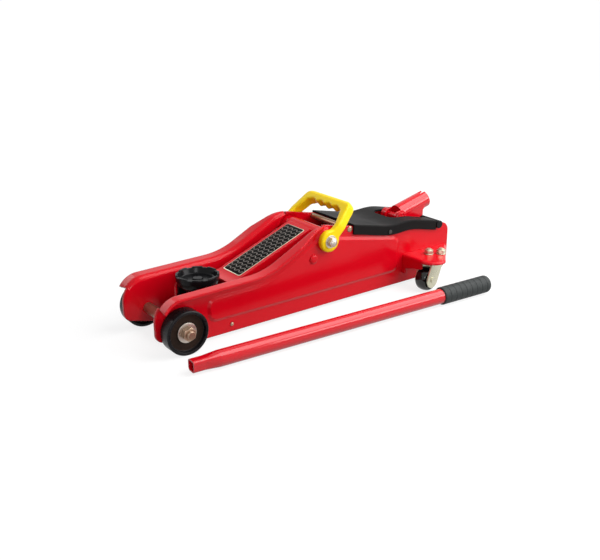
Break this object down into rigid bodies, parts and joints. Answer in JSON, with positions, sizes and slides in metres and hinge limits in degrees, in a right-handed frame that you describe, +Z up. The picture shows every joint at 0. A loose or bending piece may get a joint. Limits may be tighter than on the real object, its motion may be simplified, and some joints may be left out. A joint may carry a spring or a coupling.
{
  "type": "car jack",
  "caption": "Low hydraulic trolley jack with red pressed side plates, swivelling saddle, casters, folding carry handle and a loose pump handle.",
  "frame": {"origin": "middle of the bounding box's underside, on the floor", "axes": "+X from the front wheels to the rear casters, +Z up, the loose handle on the -Y side"},
  "size_m": [0.5566, 0.2844, 0.159],
  "materials": {
    "red_enamel": "gloss enamel",
    "black_enamel": "satin black enamel",
    "black_wheel": "gloss black enamel on pressed steel",
    "black_cover": "satin",
    "yellow_plastic": "moulded, gloss",
    "copper_tone_steel": "copper-toned plating",
    "yellow_zinc": "yellow zinc plating",
    "grey_zinc": "zinc plating",
    "bare_steel": "plain",
    "polished_steel": "ground and polished",
    "spring_steel": "oiled spring wire",
    "black_caster": "gloss moulding",
    "black_rubber": "matt, ribbed"
  },
  "bodies": {
    "frame": {"left_side_plate": "red_enamel", "right_side_plate": "red_enamel", "front_axle": "copper_tone_steel", "axle_washers": "grey_zinc", "axle_nuts": "copper_tone_steel", "front_tie_rod": "copper_tone_steel", "upper_tie_rod": "copper_tone_steel", "rear_cross_bar": "black_enamel", "main_pivot_shaft": "yellow_zinc", "pivot_washers": "yellow_zinc", "pivot_nuts": "yellow_zinc", "link_rivets": "red_enamel", "gland_nut": "bare_steel", "reservoir": "red_enamel", "filler_plug": "black_rubber", "ram_cylinder": "bare_steel", "pump_block": "red_enamel", "spring_anchors": "bare_steel", "rear_base_plate": "red_enamel", "unit_bolts": "yellow_zinc", "socket_pin": "bare_steel", "top_cover": "black_cover", "cover_screws": "yellow_zinc", "left_caster_bracket": "red_enamel", "right_caster_bracket": "red_enamel", "left_caster_plate": "yellow_zinc", "right_caster_plate": "yellow_zinc", "caster_washers": "yellow_zinc", "caster_nuts": "yellow_zinc", "kingpins": "yellow_zinc", "return_springs": "spring_steel"},
    "lift_arm": {"lift_arm": "red_enamel", "saddle_pivot_pin": "bare_steel", "pin_rings": "bare_steel", "roller_pin": "bare_steel"},
    "ram_roller": {"ram_roller": "bare_steel"},
    "saddle_bracket": {"saddle_bracket": "black_enamel", "link_pin": "bare_steel"},
    "link_bars": {"left_link_bar": "red_enamel", "right_link_bar": "red_enamel"},
    "saddle": {"saddle": "black_enamel", "saddle_ring": "bare_steel"},
    "ram": {"ram": "polished_steel"},
    "left_front_wheel": {"left_front_wheel": "black_wheel"},
    "right_front_wheel": {"right_front_wheel": "black_wheel"},
    "left_caster": {"left_caster_fork": "yellow_zinc", "left_caster_axle": "yellow_zinc"},
    "right_caster": {"right_caster_fork": "yellow_zinc", "right_caster_axle": "yellow_zinc"},
    "left_caster_wheel": {"left_caster_wheel": "black_caster"},
    "right_caster_wheel": {"right_caster_wheel": "black_caster"},
    "handle_socket": {"handle_socket": "red_enamel", "plunger_pin": "bare_steel"},
    "pump_plunger": {"pump_plunger": "polished_steel"},
    "release_valve": {"release_valve": "yellow_zinc"},
    "carry_handle": {"carry_handle": "yellow_plastic"},
    "pump_handle": {"handle_tube": "red_enamel", "handle_grip": "black_rubber"}
  },
  "joints": [
    {"name": "lift", "type": "hinge", "parent": "frame", "child": "lift_arm", "pos_m": [0.01325, 0.02621, 0.1096], "axis": [0, 1, 0], "range_deg": [0, 66], "deforming": ["return_springs"]},
    {"name": "saddle_level", "type": "hinge", "parent": "lift_arm", "child": "saddle_bracket", "pos_m": [-0.17675, 0.02621, 0.052], "axis": [0, 1, 0], "range_deg": [-66, 0]},
    {"name": "link_swing", "type": "hinge", "parent": "frame", "child": "link_bars", "pos_m": [-0.01175, 0.02621, 0.0845], "axis": [0, 1, 0], "range_deg": [0, 66]},
    {"name": "ram_slide", "type": "slide", "parent": "frame", "child": "ram", "axis": [-1, 0, 0], "range_m": [0, 0.05249]},
    {"name": "roller_spin", "type": "hinge", "parent": "lift_arm", "child": "ram_roller", "pos_m": [0.03939, 0.02621, 0.06934], "axis": [0, 1, 0], "continuous": true},
    {"name": "saddle_spin", "type": "hinge", "parent": "saddle_bracket", "child": "saddle", "pos_m": [-0.18205, 0.02621, 0.069], "axis": [0, 0, 1], "continuous": true},
    {"name": "left_front_wheel_spin", "type": "hinge", "parent": "frame", "child": "left_front_wheel", "pos_m": [-0.24075, -0.03569, 0.032], "axis": [0, 1, 0], "continuous": true},
    {"name": "right_front_wheel_spin", "type": "hinge", "parent": "frame", "child": "right_front_wheel", "pos_m": [-0.24075, 0.08811, 0.032], "axis": [0, 1, 0], "continuous": true},
    {"name": "left_caster_swivel", "type": "hinge", "parent": "frame", "child": "left_caster", "pos_m": [0.20625, -0.06079, 0.042], "axis": [0, 0, 1], "continuous": true},
    {"name": "left_caster_wheel_spin", "type": "hinge", "parent": "left_caster", "child": "left_caster_wheel", "pos_m": [0.1914, -0.06288, 0.02], "axis": [-0.1392, 0.9903, 0], "continuous": true},
    {"name": "right_caster_swivel", "type": "hinge", "parent": "frame", "child": "right_caster", "pos_m": [0.20625, 0.11321, 0.042], "axis": [0, 0, 1], "continuous": true},
    {"name": "right_caster_wheel_spin", "type": "hinge", "parent": "right_caster", "child": "right_caster_wheel", "pos_m": [0.1914, 0.11529, 0.02], "axis": [-0.1392, -0.9903, 0], "continuous": true},
    {"name": "pump_stroke", "type": "hinge", "parent": "frame", "child": "handle_socket", "pos_m": [0.19725, 0.02621, 0.1045], "axis": [0, -1, 0], "range_deg": [0, 50]},
    {"name": "plunger_slide", "type": "slide", "parent": "frame", "child": "pump_plunger", "axis": [0, 0, 1], "range_m": [0, 0.03232]},
    {"name": "release_turn", "type": "hinge", "parent": "frame", "child": "release_valve", "pos_m": [0.24925, 0.02621, 0.04], "axis": [1, 0, 0], "range_deg": [0, 180]},
    {"name": "carry_swing", "type": "hinge", "parent": "frame", "child": "carry_handle", "pos_m": [0.01325, 0.02621, 0.1096], "axis": [0, 1, 0], "range_deg": [-36, 0]},
    {"name": "handle_lift_off", "type": "slide", "parent": "frame", "child": "pump_handle", "axis": [0, 0, 1], "range_m": [0, 0.3]}
  ],
  "couplings": [
    {"joint": "saddle_level", "follows": "lift", "ratio": -1},
    {"joint": "link_swing", "follows": "lift", "ratio": 1},
    {"joint": "ram_slide", "follows": "lift", "m_per_rad": 0.04539},
    {"joint": "plunger_slide", "follows": "pump_stroke", "m_per_rad": 0.036806}
  ]
}
